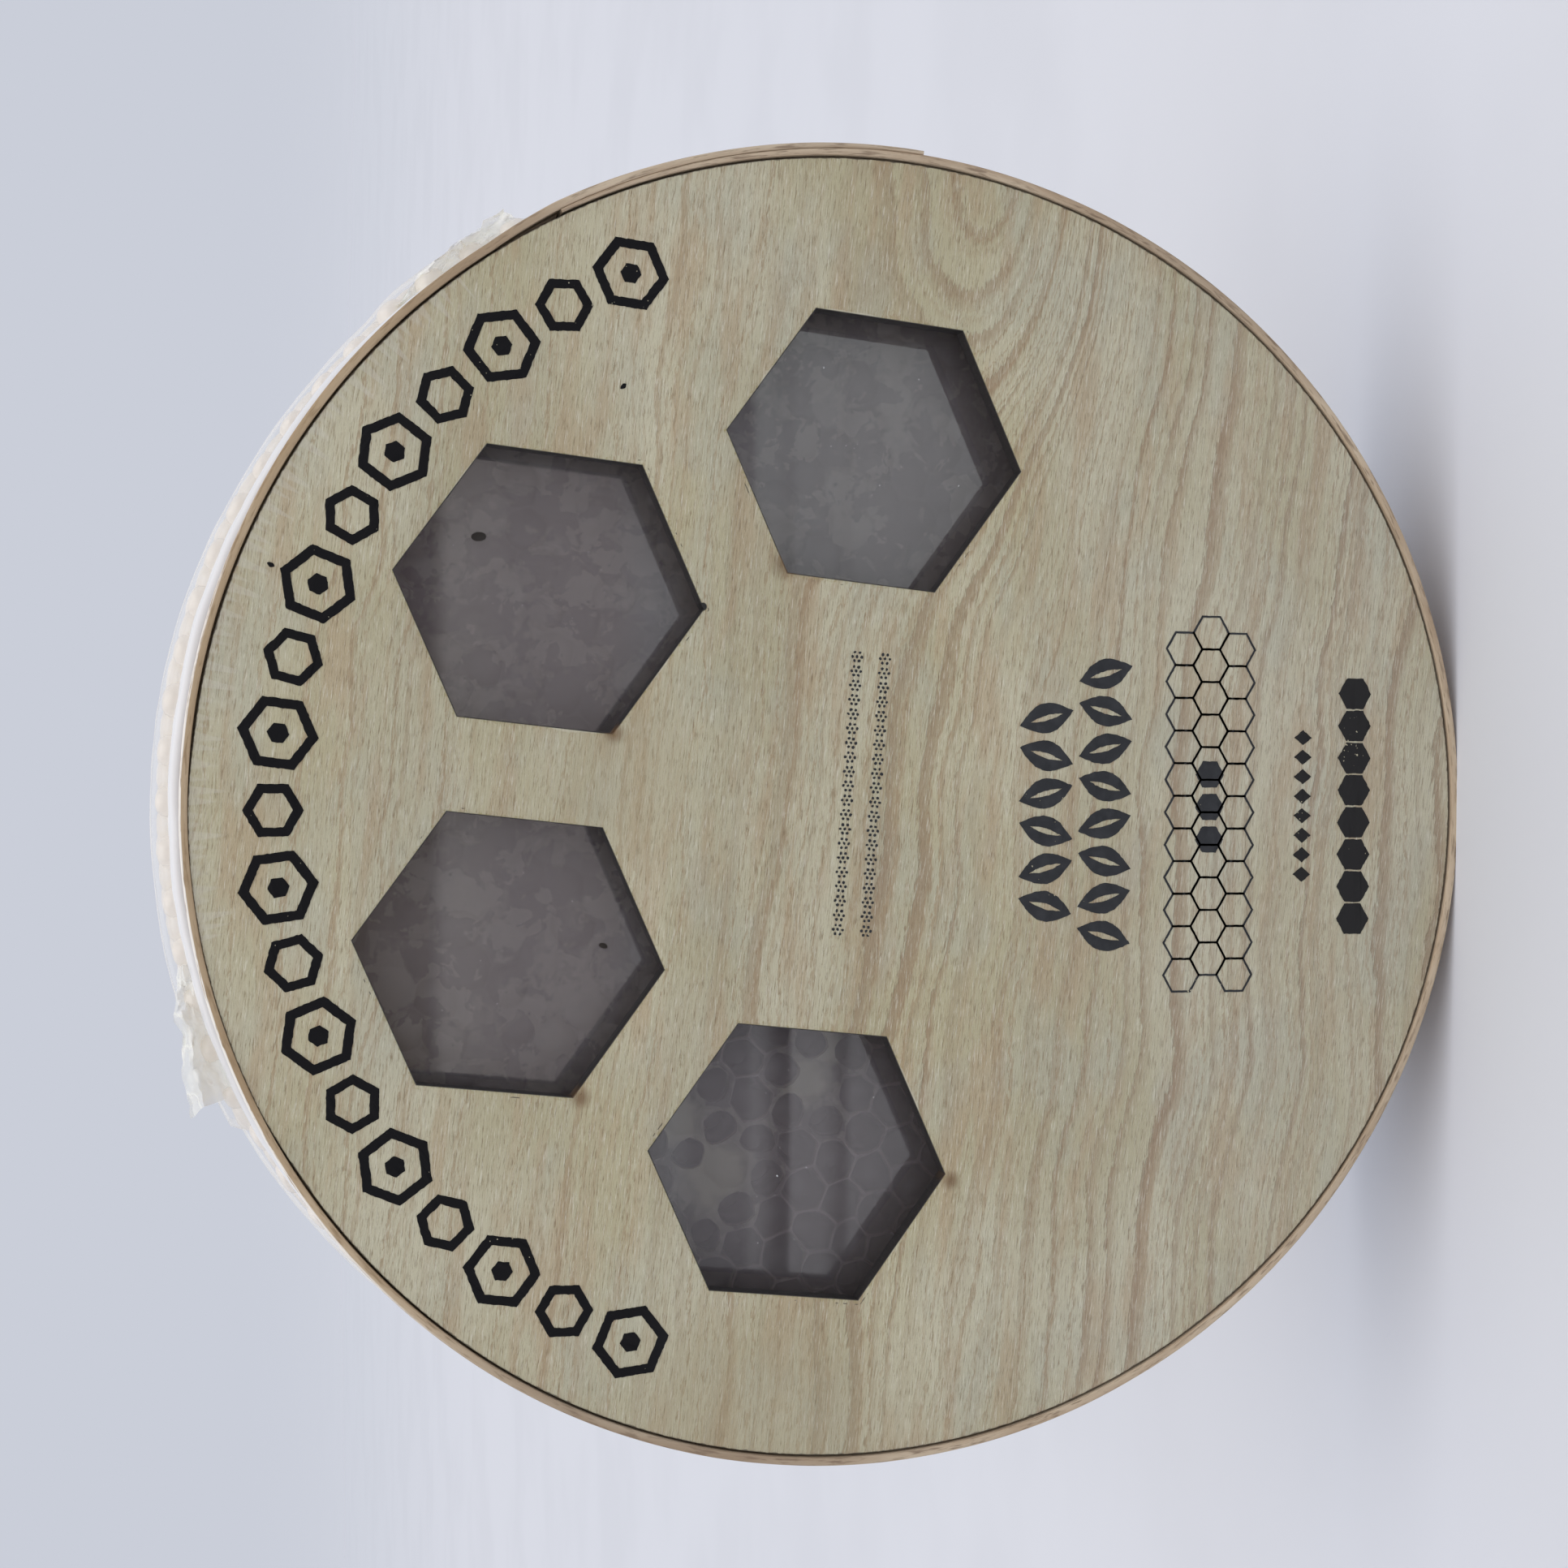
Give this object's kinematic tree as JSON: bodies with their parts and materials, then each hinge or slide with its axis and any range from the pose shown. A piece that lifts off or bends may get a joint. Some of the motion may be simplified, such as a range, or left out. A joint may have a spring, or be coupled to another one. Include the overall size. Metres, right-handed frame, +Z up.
{
  "type": "boxed honeycomb",
  "caption": "Slab of comb honey in a round bentwood box with hexagonal windows in its lid, standing on its edge with bubble wrap wound round its side.",
  "frame": {"origin": "centre of the small flat spot under the lid's ring, on which the box stands", "axes": "+Z up, lid facing -Y, +X to the right as the lid is seen"},
  "size_m": [0.1742, 0.032, 0.1727],
  "materials": {
    "lid_board": "satin printed wood grain",
    "ring_veneer": "raw bent veneer",
    "clear_film": "glossy clear plastic",
    "comb": "waxy",
    "side_veneer": "raw bent veneer",
    "base_wood": "raw plywood",
    "bubble_film": "glossy clear film with air bubbles"
  },
  "bodies": {
    "root": {"lid_panel": "lid_board", "lid_ring": "ring_veneer", "clear_cover": "clear_film", "honeycomb": "comb", "box_side": "side_veneer", "base_board": "base_wood", "bubble_wrap": "bubble_film"}
  },
  "joints": []
}
